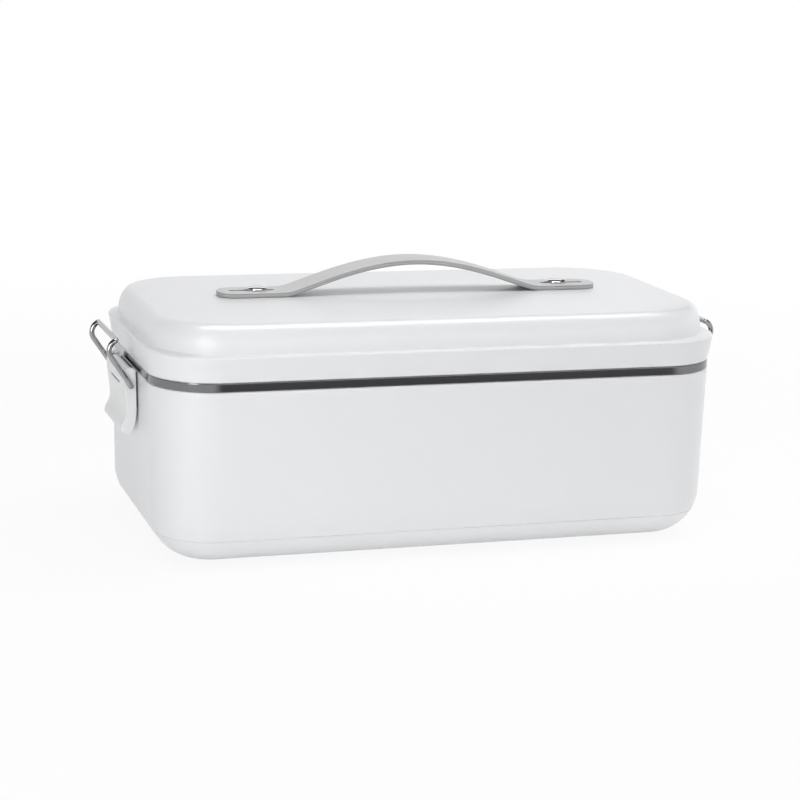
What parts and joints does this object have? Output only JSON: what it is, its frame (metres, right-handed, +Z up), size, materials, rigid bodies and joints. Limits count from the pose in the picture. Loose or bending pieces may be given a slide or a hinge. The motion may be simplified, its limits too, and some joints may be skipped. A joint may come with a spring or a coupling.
{
  "type": "electric lunch box",
  "caption": "Rounded white tub that warms food in a lift-out steel container, under a domed lid with a strap handle and a wire toggle latch at each end.",
  "frame": {"origin": "on the table, under the middle of the box", "axes": "+Z up, +X to the right end with the front towards -Y; the power inlet is on the back, +Y"},
  "size_m": [0.2664, 0.1298, 0.1147],
  "materials": {
    "white_plastic": "satin, fine moulded texture",
    "lever_plastic": "satin",
    "panel_plastic": "satin, slightly translucent",
    "black_plastic": "satin",
    "foot_rubber": "matt",
    "seal_silicone": "matt",
    "screw_steel": "plain",
    "spring_steel": "plain",
    "bracket_steel": "stamped sheet",
    "pan_aluminium": "pressed, dull",
    "heater_case": "dull",
    "fuse_body": "ceramic",
    "lead_insulation": "sleeved",
    "contact_metal": "plated",
    "chrome_wire": "polished",
    "chrome_stud": "polished",
    "polished_steel": "polished stainless",
    "strap_grey": "fine grained, layered edge"
  },
  "bodies": {
    "tub": {"tub_shell": "white_plastic", "base_cover": "white_plastic", "rubber_feet": "foot_rubber", "base_screws": "screw_steel", "heating_pan": "pan_aluminium", "ptc_heater": "heater_case", "heater_clamp": "spring_steel", "clamp_screws": "screw_steel", "thermostat": "black_plastic", "thermal_fuse": "fuse_body", "heater_leads": "lead_insulation", "power_inlet": "black_plastic", "contact_pins": "contact_metal", "left_latch_bracket": "bracket_steel", "right_latch_bracket": "bracket_steel", "latch_rivets": "screw_steel", "left_lever_pin": "screw_steel", "right_lever_pin": "screw_steel"},
    "container": {"food_container": "polished_steel"},
    "lid": {"lid_shell": "white_plastic", "lid_inner_panel": "panel_plastic", "lid_gasket": "seal_silicone", "panel_screws": "screw_steel", "handle_strap": "strap_grey", "handle_studs": "chrome_stud", "stud_nuts": "screw_steel"},
    "left_lever": {"left_latch_lever": "lever_plastic"},
    "right_lever": {"right_latch_lever": "lever_plastic"},
    "left_bail": {"left_wire_bail": "chrome_wire"},
    "right_bail": {"right_wire_bail": "chrome_wire"}
  },
  "joints": [
    {"name": "lid_lift", "type": "slide", "parent": "tub", "child": "lid", "axis": [0, 0, 1], "range_m": [0, 0.12]},
    {"name": "container_lift", "type": "slide", "parent": "tub", "child": "container", "axis": [0, 0, 1], "range_m": [0, 0.06]},
    {"name": "left_lever_open", "type": "hinge", "parent": "tub", "child": "left_lever", "pos_m": [-0.12328, 0, 0.07184], "axis": [0, 1, 0], "range_deg": [0, 85]},
    {"name": "right_lever_open", "type": "hinge", "parent": "tub", "child": "right_lever", "pos_m": [0.12328, 0, 0.07184], "axis": [0, -1, 0], "range_deg": [0, 85]},
    {"name": "left_bail_swing", "type": "hinge", "parent": "left_lever", "child": "left_bail", "pos_m": [-0.1229, 0, 0.06735], "axis": [0, -1, 0], "range_deg": [0, 128]},
    {"name": "right_bail_swing", "type": "hinge", "parent": "right_lever", "child": "right_bail", "pos_m": [0.1229, 0, 0.06735], "axis": [0, 1, 0], "range_deg": [0, 128]}
  ],
  "couplings": [
    {"joint": "container_lift", "follows": "lid_lift", "ratio": 0.5},
    {"joint": "left_bail_swing", "follows": "left_lever_open", "ratio": 1.5},
    {"joint": "right_bail_swing", "follows": "right_lever_open", "ratio": 1.5}
  ]
}
